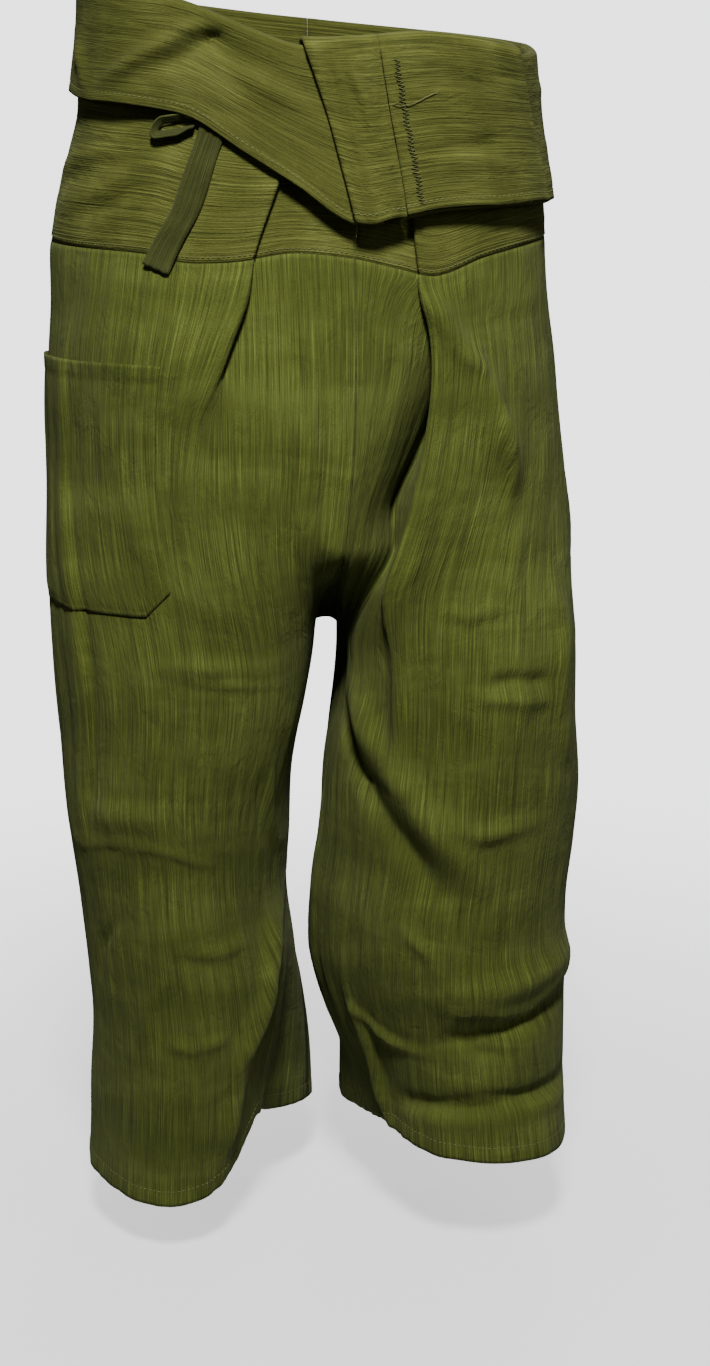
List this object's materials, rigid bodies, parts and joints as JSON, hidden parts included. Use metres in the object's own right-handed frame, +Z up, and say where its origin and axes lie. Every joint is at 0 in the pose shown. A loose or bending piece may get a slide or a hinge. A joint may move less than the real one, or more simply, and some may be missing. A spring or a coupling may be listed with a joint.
{
  "type": "thai fisherman pants",
  "caption": "Wide wrap trousers, worn and pleated over the front, with a waistband folded down over a cloth tie, a patch pocket and full loose legs.",
  "frame": {"origin": "middle of the waist at the height of the tie", "axes": "+Z up, -Y the front, +X the wearer's left"},
  "size_m": [0.4431, 0.2733, 0.9991],
  "materials": {
    "leg_cloth": "matt handwoven cotton with slubs down the leg",
    "band_cloth": "matt handwoven cotton with slubs round the waist",
    "tie_cloth": "matt handwoven cotton with slubs along the tie"
  },
  "bodies": {
    "root": {"leg_right": "leg_cloth", "leg_left": "leg_cloth", "crotch_gusset": "leg_cloth", "waistband_right": "band_cloth", "waistband_left": "band_cloth", "patch_pocket": "leg_cloth", "waist_tie": "tie_cloth", "tie_tail": "tie_cloth", "tie_loop": "tie_cloth"}
  },
  "joints": []
}
